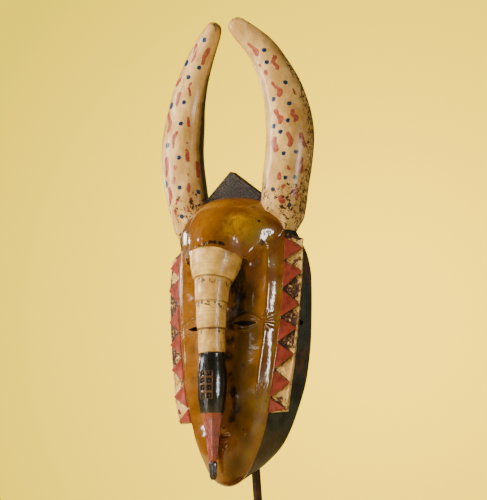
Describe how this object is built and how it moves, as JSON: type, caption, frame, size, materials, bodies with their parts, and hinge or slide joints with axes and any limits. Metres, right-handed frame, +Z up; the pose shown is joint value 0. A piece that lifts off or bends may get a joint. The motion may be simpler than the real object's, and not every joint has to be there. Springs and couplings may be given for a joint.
{
  "type": "carved antelope mask on a display stand",
  "caption": "Carved and painted wooden antelope mask with a long beak, curved horns, crest and side fringes, resting on a steel display stand.",
  "frame": {"origin": "centre of the base plate's underside, on the rod's axis", "axes": "+Z up along the rod, the face looks along -Y, +X to the right as one faces it"},
  "size_m": [0.1754, 0.164, 0.5884],
  "materials": {
    "painted_wood": "carved wood, painted and varnished amber, with spotted cream horns and a cream, black and red beak, worn and dark with age",
    "blackened_rod": "blackened steel rod, dull, lightly streaked with brown",
    "blackened_plate": "blackened steel plate, satin"
  },
  "bodies": {
    "root": {"mask": "painted_wood", "stand_rod": "blackened_rod", "stand_base": "blackened_plate"}
  },
  "joints": []
}
